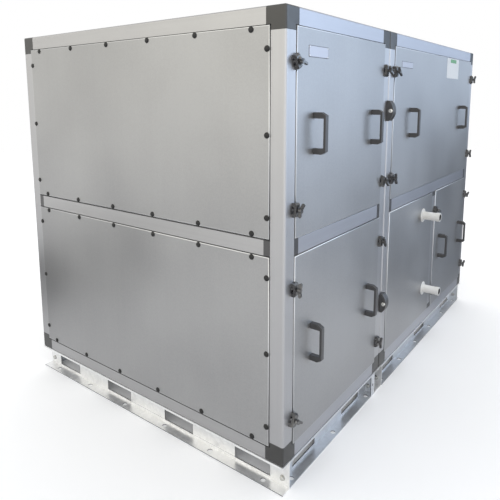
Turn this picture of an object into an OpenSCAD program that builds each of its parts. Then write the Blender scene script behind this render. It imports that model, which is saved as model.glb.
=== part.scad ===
// Air handling unit: two framed casing sections with two decks of panels,
// joined end to end on a folded channel base.
// Millimetres. +Z is up, the access side faces -Y, the short section is at -X.
// The origin is on the floor, at the centre of the base.

/* [Casing] */
// Length of the short section
section_1_l = 720; // [640:10:900]
// Length of the long section
section_2_l = 1230; // [1150:10:1500]
// Width of the casing, from the access side to the back
casing_w = 1300; // [1100:10:1600]
// Height of the casing above the base
casing_h = 1360; // [1200:10:1600]
// Edge of the square frame profile
profile = 50; // [44:1:56]
// Wall of the hollow frame profile
profile_wall = 2.5; // [2:0.5:4]
// Rounding of the outer corner of the frame profile
profile_round = 7; // [4:0.5:9]
// Length of a corner piece along each edge, from the casing corner
corner_leg = 66; // [60:1:80]
// Length of the connector at each end of a mid rail or mullion
connector_l = 16; // [10:1:24]
// Centre of the mullion, from the short section's end of the long section
mullion_x = 626; // [560:2:680]

/* [Panels] */
// How far a panel's back stays short of the frame's inner face
panel_inset = 3; // [0:0.5:10]
// How far a panel's face stands out of the frame
panel_proud = 3; // [1:0.5:5]
// Width of the groove round a panel's face
groove_w = 2; // [1:0.5:4]
// Depth of that groove below the frame's face
groove_d = 6; // [3:0.5:10]
// Radius of the folded edge of a panel's face
fold_r = 2.5; // [1:0.5:4]

/* [Base] */
// Height of the base channel
base_h = 95; // [80:5:140]
// Width of the base channel
channel_w = 40; // [34:1:50]
// Sheet thickness of the base channel
channel_t = 3; // [2:0.5:4]
// Height of the lip along the outer edge of the upper flange
top_lip = 8; // [4:0.5:12]
// Width of the bolt tab in a side rail's end at the section joint
joint_tab_w = 28; // [22:1:36]
// Diameter of the bolt hole in that tab
joint_hole_d = 10; // [6:0.5:14]
// Length of a window in the channel's web
window_l = 144; // [100:2:170]
// Height of a window in the channel's web
window_h = 62; // [40:2:64]
// How far the windows sit below the middle of a rail's height
window_drop = 5; // [0:0.5:8]
// Corner radius of a window
window_r = 2; // [1:0.5:8]
// Distance from the end of an end rail to the centre of its first window
end_window_margin = 144; // [120:2:160]
// Number of windows in an end rail
end_window_count = 4; // [2:1:4]
// Distance from the end of a section to the centre of its first side window
side_window_margin = 186; // [160:2:200]
// Number of windows in a side rail of the short section
side_window_count_1 = 2; // [2:1:2]
// Number of windows in a side rail of the long section
side_window_count_2 = 3; // [2:1:4]
// Diameter of a hole in the lower flange
flange_hole_d = 18; // [10:0.5:20]
// Distance from the end of an end rail to its first hole
end_hole_margin = 87; // [60:1:120]
// Number of holes in an end rail
end_hole_count = 6; // [2:1:8]
// Distance from the end of a section to its first side hole
side_hole_margin = 78; // [64:1:110]
// Number of holes in a side rail of the short section
side_hole_count_1 = 3; // [2:1:4]
// Number of holes in a side rail of the long section
side_hole_count_2 = 6; // [2:1:8]

/* [Handles] */
// Overall height of a handle
handle_h = 124; // [100:1:140]
// Width of a handle
handle_w = 17; // [12:1:24]
// How far a handle stands out of its panel
handle_out = 42; // [36:1:60]
// Thickness of a handle's grip
grip_t = 8; // [6:0.5:11]
// Thickness of a handle's foot
foot_t = 18; // [14:0.5:24]
// Slope of a handle's shoulder, along its reach
shoulder_out = 15; // [8:0.5:18]
// Slope of a handle's shoulder, along its height
shoulder_h = 9; // [5:0.5:12]
// Depth of the hollow in the back of the grip
grip_hollow = 4; // [2:0.5:5]
// Wall beside that hollow
grip_wall = 3; // [2:0.5:4]
// Handle centre to the panel edge, short section
handle_inset_1 = 103; // [60:1:140]
// Handle centre to the panel edge, upper panel of the long section
handle_inset_2 = 190; // [120:1:300]
// Handle centre to the panel edge, narrow lower panel
narrow_handle_inset = 90; // [60:1:140]

/* [Clamps] */
// Length of a clamp bar
clamp_h = 42; // [34:1:50]
// Reach of an upright clamp bar over the frame
clamp_on_frame = 14; // [11:0.5:17]
// Reach of an upright clamp bar over the panel
clamp_on_panel = 6; // [5:0.5:9]
// How far a clamp bar stands out of the frame
clamp_out = 15; // [12:0.5:20]
// Chamfer of a clamp bar's outer ends
clamp_chamfer = 5; // [2:0.5:6]
// Length of each foot of a clamp bar
clamp_foot = 11; // [9:0.5:13]
// Height of the gap between a clamp bar's feet, from the frame
clamp_gap = 6; // [4:0.5:8]
// Distance from the top of an opening to the middle of its upper clamps
clamp_drop = 99; // [60:1:130]
// Distance from the bottom of an opening to the middle of its lower clamps
clamp_rise = 89; // [60:1:130]
// Diameter of a clamp's stem
stem_d = 9; // [6:0.5:12]
// Length of the stem between the bar and the wing
stem_l = 4; // [2:0.5:12]
// Length of a wing from tip to tip
wing_l = 44; // [34:1:54]
// Thickness of a wing
wing_t = 6; // [4:0.5:8]
// How far a wing reaches out beyond the stem
wing_out = 12; // [10:0.5:18]
// Diameter of the round tip of a wing
wing_tip_d = 10; // [8:0.5:12]
// Diameter of the hub between the wings
hub_d = 15; // [13:0.5:20]
// Length of the hub
hub_l = 9; // [6:0.5:11]

/* [Lugs] */
// Height of a section lug
lug_h = 77; // [60:1:100]
// How far the middle of a section lug stands out of the frame
lug_out = 27; // [20:0.5:32]
// How far the upper and lower ends of a section lug stand out of the frame
lug_edge = 11; // [6:0.5:14]
// Length of each half of a lug along the unit
lug_l = 16.5; // [12:0.5:30]
// Distance from the top of the casing to the centre of the upper lug
upper_lug_drop = 298; // [240:2:320]
// Distance from the bottom of the casing to the centre of the lower lug
lower_lug_rise = 290; // [240:2:320]

/* [Pipes] */
// Outer diameter of a pipe stub
pipe_d = 38; // [30:0.5:44]
// Wall of a pipe stub
pipe_wall = 4.5; // [3:0.5:6]
// How far a pipe stub stands out of the casing's frame
pipe_out = 83; // [60:1:120]
// Clearance between a pipe stub and its hole in the panel
pipe_clearance = 2; // [1:0.5:4]
// Diameter of the rosette round a pipe stub
rosette_d = 65; // [60:1:76]
// Thickness of the rosette
rosette_t = 4; // [3:0.5:12]
// How far the collar at the end of a pipe stub stands out of the pipe
collar_rise = 1.5; // [0.5:0.5:4]
// Length of that collar
collar_l = 17; // [10:1:24]
// Upper pipe centre to the mullion
upper_pipe_inset = 132; // [60:1:200]
// Upper pipe centre to the upper edge of its panel
upper_pipe_drop = 92; // [60:1:140]
// Lower pipe centre to the mullion
lower_pipe_inset = 86; // [60:1:200]
// Lower pipe centre to the lower edge of its panel
lower_pipe_rise = 140; // [60:1:200]

/* [Hidden] */
$fn = 64;
casing_l = section_1_l + section_2_l;
casing_top = base_h + casing_h;
mid_z = base_h + casing_h / 2;
mid_low = mid_z - profile / 2;
mid_high = mid_z + profile / 2;
seam_x = section_1_l;
mullion_left = seam_x + mullion_x - profile / 2;
mullion_right = mullion_left + profile;
// From the frame's outer face to a panel's back
panel_depth = profile - panel_inset;

// Section number, 0 for the short one and 1 for the long one, to its two ends along X
section_ends = [[0, seam_x], [seam_x, casing_l]];

// Clear openings of the two decks, as low and high edges along Z
lower_deck = [base_h + profile, mid_low];
upper_deck = [mid_high, casing_top - profile];

// Openings of the access side, as low and high edges along X
opening_1 = [profile, seam_x - profile];
opening_2 = [seam_x + profile, casing_l - profile];
opening_pipe = [seam_x + profile, mullion_left];
opening_narrow = [mullion_right, casing_l - profile];
cross_opening = [profile, casing_w - profile];

// Each access panel as its X opening, its Z opening and its handles' inset
access_upper_1 = [opening_1, upper_deck, handle_inset_1];
access_lower_1 = [opening_1, lower_deck, handle_inset_1];
access_upper_2 = [opening_2, upper_deck, handle_inset_2];
access_lower_2 = [opening_narrow, lower_deck, narrow_handle_inset];

// Turn of each clamp bar, in degrees from upright: left edge top and bottom, right edge top and bottom
bar_turns_upper_1 = [-24, 2, -12, -16];
bar_turns_lower_1 = [-6, 28, -12, -14];
bar_turns_upper_2 = [-8, -23, -15, -10];
bar_turns_lower_2 = [10, -14, -12, -12];

// Turn of each wing, in the same order
wing_turns_upper_1 = [70, -36, -48, -40];
wing_turns_lower_1 = [-8, 60, -28, 8];
wing_turns_upper_2 = [45, 10, 30, -5];
wing_turns_lower_2 = [70, -45, 60, 50];

// Centre of a clamp bar, from the edge of its panel
clamp_middle = (clamp_on_panel - clamp_on_frame) / 2;
rosette_lip = 2;
pipes = [[mullion_left - upper_pipe_inset, lower_deck[1] - upper_pipe_drop],
         [mullion_left - lower_pipe_inset, lower_deck[0] + lower_pipe_rise]];
lug_levels = [casing_top - upper_lug_drop, base_h + lower_lug_rise];
lug_bulge = lug_out - lug_edge;
lug_radius = (pow(lug_h / 2, 2) + pow(lug_bulge, 2)) / (2 * lug_bulge);

galvanised = "#b9bec2";
panel_colour = "#aab3bb";
frame_colour = "#c3c2c4";
black_plastic = "#2b2b2c";
corner_plastic = "#4a4947";
pipe_white = "#ecebe8";

// Moves the casing's near left corner frame so that the base is centred on the origin
module centred() {
    translate([-casing_l / 2, -casing_w / 2, 0]) children();
}

// Spreads count places evenly between two margins along a length
function spread(length, margin, count) =
    [for (i = [0 : count - 1]) margin + i * (length - 2 * margin) / (count - 1)];

// Mirrors the children so that they sit at the near or the far end of a length along an axis
module at_end(far, length, axis) {
    if (far) translate(axis * length) mirror(axis) children();
    else children();
}

// Flat shapes

// Square with its corner at the origin rounded
module rounded_corner_square(edge, radius) {
    translate([radius, 0]) square([edge - radius, edge]);
    translate([0, radius]) square([edge, edge - radius]);
    translate([radius, radius]) circle(radius);
}

// Hollow frame profile, rounded at the casing's outer edge
module corner_profile() {
    difference() {
        rounded_corner_square(profile, profile_round);
        translate([profile_wall, profile_wall])
            rounded_corner_square(profile - 2 * profile_wall, profile_round - profile_wall);
    }
}

// Rectangle with all four corners rounded, centred on the origin
module rounded_rectangle(length, height, radius) {
    square([length - 2 * radius, height], center = true);
    square([length, height - 2 * radius], center = true);
    for (x = [-1, 1], y = [-1, 1])
        translate([x * (length / 2 - radius), y * (height / 2 - radius)]) circle(radius);
}

// Channel that opens towards -X, standing on the floor
module channel_profile() {
    translate([channel_w - channel_t, 0]) square([channel_t, base_h]);
    square([channel_w, channel_t]);
    translate([0, base_h - channel_t]) square([channel_w, channel_t]);
    translate([0, base_h - top_lip]) square([channel_t, top_lip]);
}

// Outline of a sheet with its two front corners rounded, front along y = 0
module folded_outline(width, depth) {
    translate([fold_r, 0]) square([width - 2 * fold_r, depth]);
    translate([0, fold_r]) square([width, depth - fold_r]);
    for (x = [fold_r, width - fold_r]) translate([x, fold_r]) circle(fold_r);
}

// Base

// Channel along +Y that opens towards -X, with windows and lower flange holes
module base_channel(length, windows, holes) {
    window_cut = channel_t + 2;
    difference() {
        translate([0, length, 0]) rotate([90, 0, 0]) linear_extrude(length) channel_profile();
        for (y = windows)
            translate([channel_w - channel_t - 1, y, base_h / 2 - window_drop]) rotate([90, 0, 90])
                linear_extrude(window_cut) rounded_rectangle(window_l, window_h, window_r);
        for (y = holes)
            translate([(channel_w - channel_t) / 2, y, -1]) cylinder(h = channel_t + 2, d = flange_hole_d);
    }
}

// End rails of one section, across the unit
module base_end_rails(ends) {
    windows = spread(casing_w, end_window_margin, end_window_count);
    holes = spread(casing_w, end_hole_margin, end_hole_count);
    color(galvanised) centred()
        translate([ends[0], 0, 0])
            for (far = [false, true])
                at_end(far, ends[1] - ends[0], [1, 0, 0]) base_channel(casing_w, windows, holes);
}

// Bolt tab that closes the first part of a side rail's open side
module joint_tab() {
    difference() {
        translate([0, 0, channel_t / 2]) cube([channel_t, joint_tab_w, base_h - channel_t]);
        translate([-1, joint_tab_w / 2, base_h / 2]) rotate([0, 90, 0]) cylinder(h = channel_t + 2, d = joint_hole_d);
    }
}

// Side rail with a tab folded across each end, along +Y, between two end rails
module base_side_rail(section_l, window_count, hole_count, tabbed) {
    length = section_l - 2 * channel_w;
    windows = [for (y = spread(section_l, side_window_margin, window_count)) y - channel_w];
    holes = [for (y = spread(section_l, side_hole_margin, hole_count)) y - channel_w];
    base_channel(length, windows, holes);
    for (y = [0, length - channel_t])
        translate([channel_t, y, channel_t / 2])
            cube([channel_w - 1.5 * channel_t, channel_t, base_h - channel_t]);
    if (tabbed) joint_tab();
}

// Side rails of one section, along the unit
module base_side_rails(ends, window_count, hole_count, tabbed) {
    section_l = ends[1] - ends[0];
    color(galvanised) centred()
        translate([ends[0], 0, 0])
            for (far = [false, true])
                at_end(far, casing_w, [0, 1, 0])
                    translate([section_l - channel_w, 0, 0]) rotate([0, 0, 90])
                        base_side_rail(section_l, window_count, hole_count, tabbed);
}

// Frame

// Corner posts of one section
module posts(ends) {
    color(frame_colour) centred()
        translate([ends[0], 0, base_h + corner_leg])
            for (far_x = [false, true], far_y = [false, true])
                at_end(far_x, ends[1] - ends[0], [1, 0, 0]) at_end(far_y, casing_w, [0, 1, 0])
                    linear_extrude(casing_h - 2 * corner_leg) corner_profile();
}

// Rails of one section along the unit, at the top and the bottom of both sides
module side_rails(ends) {
    section_l = ends[1] - ends[0];
    color(frame_colour) centred()
        translate([ends[0] + corner_leg, 0, base_h])
            for (far_y = [false, true], far_z = [false, true])
                at_end(far_y, casing_w, [0, 1, 0]) at_end(far_z, casing_h, [0, 0, 1])
                    rotate([90, 0, 90]) linear_extrude(section_l - 2 * corner_leg) corner_profile();
}

// Rails of one section across the unit, at the top and the bottom of both ends
module cross_rails(ends) {
    rail_l = casing_w - 2 * corner_leg;
    color(frame_colour) centred()
        translate([ends[0], corner_leg, base_h])
            for (far_x = [false, true], far_z = [false, true])
                at_end(far_x, ends[1] - ends[0], [1, 0, 0]) at_end(far_z, casing_h, [0, 0, 1])
                    translate([0, rail_l, 0]) rotate([90, 0, 0]) linear_extrude(rail_l) corner_profile();
}

// Solid bar along +Z with its outer edge rounded
module corner_bar(length) {
    linear_extrude(length) rounded_corner_square(profile, profile_round);
}

// Turns a bar along +Z so that it runs along +X or +Y, with its rounded edge kept outside
module along_x() {
    rotate([90, 0, 90]) children();
}
module along_y() {
    rotate([-90, -90, 0]) children();
}

// Three-way corner piece with one leg along each axis
module corner_piece() {
    intersection() {
        corner_bar(profile);
        along_x() corner_bar(profile);
        along_y() corner_bar(profile);
    }
    leg = corner_leg - profile;
    translate([0, 0, profile]) corner_bar(leg);
    translate([profile, 0, 0]) along_x() corner_bar(leg);
    translate([0, profile, 0]) along_y() corner_bar(leg);
}

// Corner pieces of one section
module corner_pieces(ends) {
    color(corner_plastic) centred()
        translate([ends[0], 0, base_h])
            for (far_x = [false, true], far_y = [false, true], far_z = [false, true])
                at_end(far_x, ends[1] - ends[0], [1, 0, 0]) at_end(far_y, casing_w, [0, 1, 0])
                    at_end(far_z, casing_h, [0, 0, 1]) corner_piece();
}

// Square tube along +X, also used upright
module mid_tube(length) {
    bore = profile - 2 * profile_wall;
    rotate([90, 0, 90]) linear_extrude(length)
        difference() {
            square(profile);
            translate([profile_wall, profile_wall]) square(bore);
        }
}

// Mid rails of one section: both sides and the closed end
module mid_rails(ends, closed_far) {
    side_l = ends[1] - ends[0] - 2 * (profile + connector_l);
    end_l = casing_w - 2 * (profile + connector_l);
    reach = profile + connector_l;
    color(frame_colour) centred()
        translate([ends[0], 0, mid_low]) {
            for (far_y = [false, true])
                at_end(far_y, casing_w, [0, 1, 0]) translate([reach, 0, 0]) mid_tube(side_l);
            at_end(closed_far, ends[1] - ends[0], [1, 0, 0])
                translate([profile, reach, 0]) rotate([0, 0, 90]) mid_tube(end_l);
        }
}

// Connectors at the ends of the mid rails of one section, and of the uprights that stand at the given places
module mid_connectors(ends, closed_far, uprights) {
    section_l = ends[1] - ends[0];
    color(black_plastic) centred() {
        for (x = uprights, z = [lower_deck[0], lower_deck[1] - connector_l])
            translate([x, 0, z]) cube([profile, profile, connector_l]);
        translate([ends[0], 0, mid_low]) {
            for (far_x = [false, true], far_y = [false, true])
                at_end(far_x, section_l, [1, 0, 0]) at_end(far_y, casing_w, [0, 1, 0])
                    translate([profile, 0, 0]) cube([connector_l, profile, profile]);
            at_end(closed_far, section_l, [1, 0, 0])
                for (far_y = [false, true])
                    at_end(far_y, casing_w, [0, 1, 0])
                        translate([0, profile, 0]) cube([profile, connector_l, profile]);
        }
    }
}

// Upright between the fixed panel and the narrow access panel
module mullion() {
    height = lower_deck[1] - lower_deck[0] - 2 * connector_l;
    color(frame_colour) centred()
        translate([mullion_left, 0, lower_deck[1] - connector_l]) rotate([0, 90, 0]) mid_tube(height);
}

// Panels

// Insulated panel for an opening, front towards -Y, with a folded face that stands out of the frame
module panel(width, height) {
    face_w = width - 2 * groove_w;
    face_h = height - 2 * groove_w;
    face_d = panel_proud + groove_d;
    translate([groove_w, -panel_proud, groove_w])
        intersection() {
            linear_extrude(face_h) folded_outline(face_w, face_d);
            translate([face_w, 0, 0]) rotate([0, -90, 0]) linear_extrude(face_w) folded_outline(face_h, face_d);
        }
    translate([0, groove_d, 0]) cube([width, panel_depth - groove_d, height]);
}

// Panel in an opening of the access side
module front_panel(across, up) {
    translate([across[0], 0, up[0]]) panel(across[1] - across[0], up[1] - up[0]);
}

// Panel in an opening of the back
module back_panel(across, up) {
    color(panel_colour) centred()
        translate([across[1], casing_w, up[0]]) rotate([0, 0, 180])
            panel(across[1] - across[0], up[1] - up[0]);
}

// Panel in an opening of the end at -X
module left_end_panel(up) {
    color(panel_colour) centred()
        translate([0, cross_opening[1], up[0]]) rotate([0, 0, -90])
            panel(cross_opening[1] - cross_opening[0], up[1] - up[0]);
}

// Panel in an opening of the end at +X
module right_end_panel(up) {
    color(panel_colour) centred()
        translate([casing_l, cross_opening[0], up[0]]) rotate([0, 0, 90])
            panel(cross_opening[1] - cross_opening[0], up[1] - up[0]);
}

// Roof panels of both sections
module roof_panels() {
    color(panel_colour) centred()
        for (across = [opening_1, opening_2])
            translate([across[0], cross_opening[0], casing_top]) rotate([-90, 0, 0])
                panel(across[1] - across[0], cross_opening[1] - cross_opening[0]);
}

// Floor panels of both sections, level with the frame
module floor_panels() {
    color(panel_colour) centred()
        for (across = [opening_1, opening_2])
            translate([across[0], cross_opening[0], base_h])
                cube([across[1] - across[0], cross_opening[1] - cross_opening[0], panel_depth]);
}

// Lift-off panel of the access side
module access_panel(place) {
    color(panel_colour) centred() front_panel(place[0], place[1]);
}

// Fixed panel that the pipe stubs pass through
module pipe_panel() {
    hole_d = pipe_d + 2 * pipe_clearance;
    color(panel_colour) centred()
        difference() {
            front_panel(opening_pipe, lower_deck);
            for (pipe = pipes)
                translate([pipe[0], 2 * profile, pipe[1]]) rotate([90, 0, 0])
                    cylinder(h = 3 * profile, d = hole_d);
        }
}

// Fittings

// Side view of a handle, reach along +X and height along +Y
module handle_outline() {
    difference() {
        polygon([[0, 0], [handle_out - shoulder_out, 0], [handle_out, shoulder_h],
                 [handle_out, handle_h - shoulder_h], [handle_out - shoulder_out, handle_h], [0, handle_h]]);
        translate([-1, foot_t]) square([handle_out - grip_t + 1, handle_h - 2 * foot_t]);
    }
}

// Bridge handle on a panel's face, centred on the origin, with a hollow along the back of its grip
module handle() {
    hollow_w = handle_w - 2 * grip_wall;
    difference() {
        translate([handle_w / 2, 0, -handle_h / 2]) rotate([90, 0, -90])
            linear_extrude(handle_w) handle_outline();
        translate([-hollow_w / 2, -(handle_out - grip_t + grip_hollow), foot_t - handle_h / 2])
            cube([hollow_w, grip_hollow + 1, handle_h - 2 * foot_t]);
    }
}

// Two handles of an access panel, at mid height
module handles(place) {
    z = (place[1][0] + place[1][1]) / 2;
    color(black_plastic) centred()
        for (x = [place[0][0] + place[2], place[0][1] - place[2]])
            translate([x, -panel_proud, z]) handle();
}

// Side view of a clamp bar with a foot at each end, outwards along +X and the bar along Y
module clamp_outline() {
    half = clamp_h / 2;
    polygon([[0, -half], [clamp_out - clamp_chamfer, -half], [clamp_out, clamp_chamfer - half],
             [clamp_out, half - clamp_chamfer], [clamp_out - clamp_chamfer, half], [0, half],
             [0, half - clamp_foot], [clamp_gap, half - clamp_foot], [clamp_gap, clamp_foot - half],
             [0, clamp_foot - half]]);
}

// Clamp bar across the edge of a panel, frame at -X and panel at +X of the origin
module clamp_body(turn) {
    width = clamp_on_frame + clamp_on_panel;
    difference() {
        translate([clamp_middle, 0, 0]) rotate([0, turn, 0]) translate([width / 2, 0, 0]) rotate([90, 0, -90])
            linear_extrude(width) clamp_outline();
        translate([0, -panel_proud, -clamp_h]) cube([clamp_h, panel_proud + 1, 2 * clamp_h]);
    }
}

// Side view of one wing, from the hub's axis along +X and outwards along +Y
module wing_outline() {
    tip = [(wing_l - wing_tip_d) / 2, wing_out - wing_tip_d / 2];
    slope = atan2(tip[1] - hub_l / 2, tip[0]);
    edge = [-sin(slope), cos(slope)] * wing_tip_d / 2;
    polygon([[0, 0], tip - edge, tip + edge, [0, hub_l]]);
    translate(tip) circle(d = wing_tip_d);
}

// Wing knob on the middle of a clamp bar
module clamp_wing(turn) {
    translate([clamp_middle, -clamp_out, 0]) rotate([90, 0, 0]) {
        cylinder(h = stem_l, d = stem_d);
        translate([0, 0, stem_l]) rotate([0, 0, turn]) {
            cylinder(h = hub_l, d = hub_d);
            for (side = [0, 1])
                mirror([0, side, 0]) translate([-wing_t / 2, 0, 0]) rotate([90, 0, 90])
                    linear_extrude(wing_t) wing_outline();
        }
    }
}

// Places of an access panel's clamps: its edge, the side of the panel it is on and its height
function clamp_places(place) =
    [for (far = [0, 1], z = [place[1][1] - clamp_drop, place[1][0] + clamp_rise]) [place[0][far], far, z]];

// Puts a part of a clamp at each of an access panel's clamps
module at_clamp(spot) {
    translate([spot[0], 0, spot[2]]) mirror([spot[1], 0, 0]) children();
}

// Clamp bars of the access panels of one section
module clamp_bodies(panels, turns) {
    color(black_plastic) centred()
        for (p = [0 : len(panels) - 1], c = [0 : 3])
            at_clamp(clamp_places(panels[p])[c]) clamp_body(turns[p][c]);
}

// Clamp wings of the access panels of one section
module clamp_wings(panels, turns) {
    color(black_plastic) centred()
        for (p = [0 : len(panels) - 1], c = [0 : 3])
            at_clamp(clamp_places(panels[p])[c]) clamp_wing(turns[p][c]);
}

// Half of a section lug, its flat on a post and its round side outwards
module half_lug() {
    rotate([90, 0, 90]) linear_extrude(lug_l)
        intersection() {
            translate([lug_radius - lug_out, 0]) circle(lug_radius);
            translate([-lug_out, -lug_h / 2]) square([lug_out, lug_h]);
        }
}

// Lug halves of one section, on both sides of the unit, where the sections meet
module section_lugs(far) {
    color(black_plastic) centred()
        for (back = [false, true], z = lug_levels)
            at_end(back, casing_w, [0, 1, 0])
                translate([far ? seam_x : seam_x - lug_l, 0, z]) half_lug();
}

// Open pipe stubs through the fixed panel, with a collar at the free end
module pipe_stubs() {
    length = pipe_out + panel_depth;
    color(pipe_white) centred()
        for (pipe = pipes)
            translate([pipe[0], panel_depth, pipe[1]]) rotate([90, 0, 0])
                difference() {
                    union() {
                        cylinder(h = length, d = pipe_d);
                        translate([0, 0, length - collar_l]) cylinder(h = collar_l, d = pipe_d + 2 * collar_rise);
                    }
                    translate([0, 0, -1]) cylinder(h = length + 2, d = pipe_d - 2 * pipe_wall);
                }
}

// Rosettes that close the gap between the stubs and the panel
module pipe_rosettes() {
    bore_r = pipe_d / 2;
    rim_r = rosette_d / 2;
    color(pipe_white) centred()
        for (pipe = pipes)
            translate([pipe[0], -panel_proud, pipe[1]]) rotate([90, 0, 0])
                rotate_extrude()
                    polygon([[bore_r, 0], [rim_r, 0], [rim_r, rosette_lip], [bore_r + rosette_lip, rosette_t],
                             [bore_r, rosette_t]]);
}

base_end_rails(section_ends[0]);  // base_end_rails_1
base_end_rails(section_ends[1]);  // base_end_rails_2
base_side_rails(section_ends[0], side_window_count_1, side_hole_count_1, true);  // base_side_rails_1
base_side_rails(section_ends[1], side_window_count_2, side_hole_count_2, false);  // base_side_rails_2
posts(section_ends[0]);  // posts_1
posts(section_ends[1]);  // posts_2
side_rails(section_ends[0]);  // side_rails_1
side_rails(section_ends[1]);  // side_rails_2
cross_rails(section_ends[0]);  // cross_rails_1
cross_rails(section_ends[1]);  // cross_rails_2
corner_pieces(section_ends[0]);  // corner_pieces_1
corner_pieces(section_ends[1]);  // corner_pieces_2
mid_rails(section_ends[0], false);  // mid_rails_1
mid_rails(section_ends[1], true);  // mid_rails_2
mid_connectors(section_ends[0], false, []);  // mid_connectors_1
mid_connectors(section_ends[1], true, [mullion_left]);  // mid_connectors_2
mullion();
left_end_panel(upper_deck);  // left_end_panel_upper
left_end_panel(lower_deck);  // left_end_panel_lower
right_end_panel(upper_deck);  // right_end_panel_upper
right_end_panel(lower_deck);  // right_end_panel_lower
back_panel(opening_1, upper_deck);  // back_panel_upper_1
back_panel(opening_1, lower_deck);  // back_panel_lower_1
back_panel(opening_2, upper_deck);  // back_panel_upper_2
back_panel(opening_2, lower_deck);  // back_panel_lower_2
roof_panels();
floor_panels();
pipe_panel();
access_panel(access_upper_1);  // access_panel_upper_1
access_panel(access_lower_1);  // access_panel_lower_1
access_panel(access_upper_2);  // access_panel_upper_2
access_panel(access_lower_2);  // access_panel_lower_2
handles(access_upper_1);  // handles_upper_1
handles(access_lower_1);  // handles_lower_1
handles(access_upper_2);  // handles_upper_2
handles(access_lower_2);  // handles_lower_2
clamp_bodies([access_upper_1, access_lower_1], [bar_turns_upper_1, bar_turns_lower_1]);  // clamp_bodies_1
clamp_bodies([access_upper_2, access_lower_2], [bar_turns_upper_2, bar_turns_lower_2]);  // clamp_bodies_2
clamp_wings([access_upper_1, access_lower_1], [wing_turns_upper_1, wing_turns_lower_1]);  // clamp_wings_1
clamp_wings([access_upper_2, access_lower_2], [wing_turns_upper_2, wing_turns_lower_2]);  // clamp_wings_2
section_lugs(false);  // section_lugs_1
section_lugs(true);  // section_lugs_2
pipe_stubs();
pipe_rosettes();
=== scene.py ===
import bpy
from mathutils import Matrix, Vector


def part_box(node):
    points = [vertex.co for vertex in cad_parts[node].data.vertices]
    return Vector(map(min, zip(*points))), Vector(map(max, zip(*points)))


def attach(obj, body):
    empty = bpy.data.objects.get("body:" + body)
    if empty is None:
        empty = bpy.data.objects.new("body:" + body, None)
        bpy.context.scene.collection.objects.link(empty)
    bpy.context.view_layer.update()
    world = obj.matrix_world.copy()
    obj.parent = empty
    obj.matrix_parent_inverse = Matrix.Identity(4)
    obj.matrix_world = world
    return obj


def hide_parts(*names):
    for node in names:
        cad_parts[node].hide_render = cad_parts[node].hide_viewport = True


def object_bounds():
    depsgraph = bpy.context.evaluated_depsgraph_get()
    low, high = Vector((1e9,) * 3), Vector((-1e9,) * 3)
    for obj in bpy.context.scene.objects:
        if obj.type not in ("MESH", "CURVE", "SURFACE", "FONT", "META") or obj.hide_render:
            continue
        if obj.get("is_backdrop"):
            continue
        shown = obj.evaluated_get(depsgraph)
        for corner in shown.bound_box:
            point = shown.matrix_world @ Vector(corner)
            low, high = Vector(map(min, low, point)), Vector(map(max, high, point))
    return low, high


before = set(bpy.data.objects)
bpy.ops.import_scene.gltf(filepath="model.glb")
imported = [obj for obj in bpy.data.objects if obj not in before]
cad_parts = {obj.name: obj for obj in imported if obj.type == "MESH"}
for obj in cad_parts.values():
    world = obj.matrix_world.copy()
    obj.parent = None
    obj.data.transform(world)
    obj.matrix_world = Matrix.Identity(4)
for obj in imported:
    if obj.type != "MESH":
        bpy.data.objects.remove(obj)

"""Looks of a two-section air handling unit: finishes, softened edges, fasteners, seals, plates and studio.

Every length is in metres, +Z is up and the access side looks towards -Y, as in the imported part.
"""
import logging
import math
from abc import ABC, abstractmethod
from dataclasses import dataclass, field
from enum import Enum
from functools import reduce
from typing import ClassVar, Iterable, Iterator, Optional

import bmesh
import bpy
from mathutils import Quaternion, Vector

LOG = logging.getLogger("air_handling_unit")
Colour = tuple[float, float, float]
Point = tuple[float, float, float]
Scale = float | Point
Span = tuple[float, float]
Area = tuple[Span, Span]
Piece = bpy.types.Object
Mesh = bpy.types.Mesh
Face = bpy.types.MeshPolygon
Socket = bpy.types.NodeSocket
Inputs = bpy.types.bpy_prop_collection
MERGE_REACH = 1e-5
FLAT_ANGLE = math.radians(1.0)
SHARP_ANGLE = math.radians(40.0)


class Axis(Enum):
    """A direction of the part's frame, by its index."""

    X = 0
    Y = 1
    Z = 2

    def stretch(self, across: float, along: float) -> Point:
        """Gives a pattern scale with its own factor along this axis.

        Args:
            across: Scale on the other two axes.
            along: Scale on this axis.

        Returns:
            The three scales.
        """
        scale = [across] * 3
        scale[self.value] = along
        return (scale[0], scale[1], scale[2])


class Facing(Enum):
    """The side of the casing that a panel looks out of."""

    LEFT = (-1, 0, 0)
    RIGHT = (1, 0, 0)
    ACCESS = (0, -1, 0)
    BACK = (0, 1, 0)
    ROOF = (0, 0, 1)

    @property
    def normal(self) -> Vector:
        """The outward direction of the side."""
        return Vector(self.value)

    @property
    def depth(self) -> int:
        """The index of the axis that the side looks along."""
        return next(i for i, v in enumerate(self.value) if v)

    @property
    def plane(self) -> tuple[int, int]:
        """The indices of the two axes that run in the side."""
        first, second = [i for i in range(3) if i != self.depth]
        return first, second


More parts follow.
